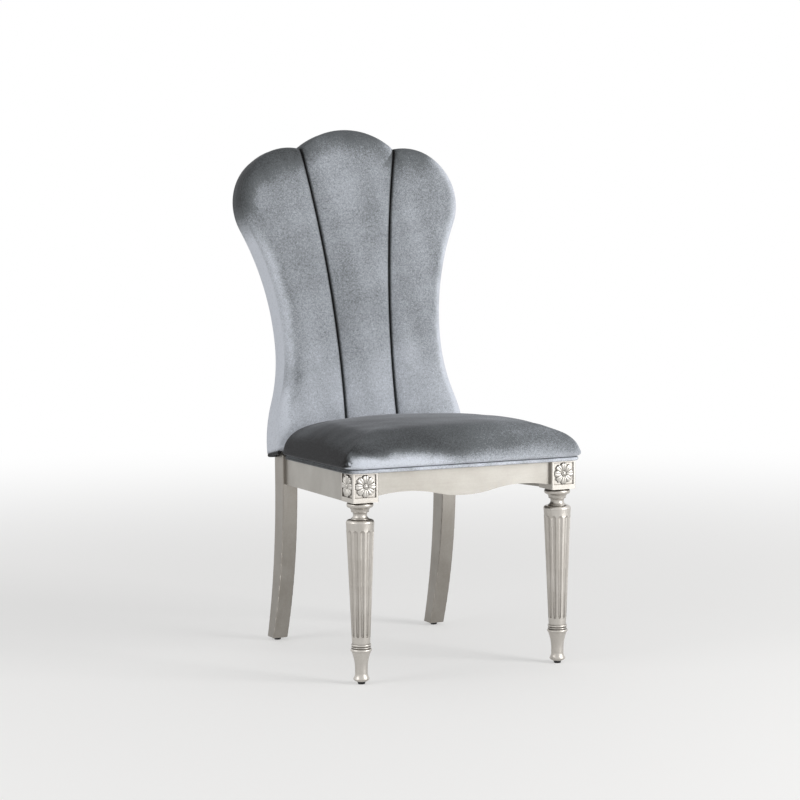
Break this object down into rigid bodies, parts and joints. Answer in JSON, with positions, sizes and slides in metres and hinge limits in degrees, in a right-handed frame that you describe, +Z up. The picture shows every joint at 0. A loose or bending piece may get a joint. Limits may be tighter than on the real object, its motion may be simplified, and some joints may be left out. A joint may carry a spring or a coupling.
{
  "type": "upholstered dining chair",
  "caption": "Dining chair with a channelled velvet back of rounded lobes, a domed velvet seat with piping, fluted turned front legs under carved rosettes, and sabre rear legs.",
  "frame": {"origin": "on the floor, under the middle of the chair's box", "axes": "+Z up, the chair faces -Y, +X to the right as seen from the front"},
  "size_m": [0.5496, 0.6704, 1.1643],
  "materials": {
    "silver_wood": "champagne silver paint, satin",
    "raw_wood": "plain sawn hardwood",
    "plywood": "plain plywood",
    "velvet": "short pile with a silver sheen",
    "foam": "open-cell foam",
    "dust_cloth": "thin black lining",
    "black_plastic": "matt",
    "steel": "plain"
  },
  "bodies": {
    "root": {"apron_dowels": "raw_wood", "back_bottom_cloth": "dust_cloth", "back_cover_center": "velvet", "back_cover_left": "velvet", "back_cover_right": "velvet", "back_foam_center": "foam", "back_foam_left": "foam", "back_foam_right": "foam", "back_hem_welt": "velvet", "back_panel": "plywood", "back_side_band": "velvet", "corner_block_front_left": "raw_wood", "corner_block_front_right": "raw_wood", "corner_block_rear_left": "raw_wood", "corner_block_rear_right": "raw_wood", "corner_block_screws": "steel", "crest_rail": "raw_wood", "front_apron": "silver_wood", "front_leg_left": "silver_wood", "front_leg_right": "silver_wood", "glide_front_left": "black_plastic", "glide_front_right": "black_plastic", "glide_nails": "steel", "glide_rear_left": "black_plastic", "glide_rear_right": "black_plastic", "lower_back_rail": "raw_wood", "outside_back_board": "plywood", "outside_back_cover": "velvet", "panel_screws": "steel", "rail_dowels": "raw_wood", "rear_apron": "silver_wood", "rear_leg_left": "silver_wood", "rear_leg_right": "silver_wood", "rosette_left_front": "silver_wood", "rosette_left_side": "silver_wood", "rosette_right_front": "silver_wood", "rosette_right_side": "silver_wood", "seat_board": "plywood", "seat_cover": "velvet", "seat_dust_cover": "dust_cloth", "seat_foam": "foam", "seat_screws": "steel", "seat_welt": "velvet", "side_apron_left": "silver_wood", "side_apron_right": "silver_wood"}
  },
  "joints": []
}
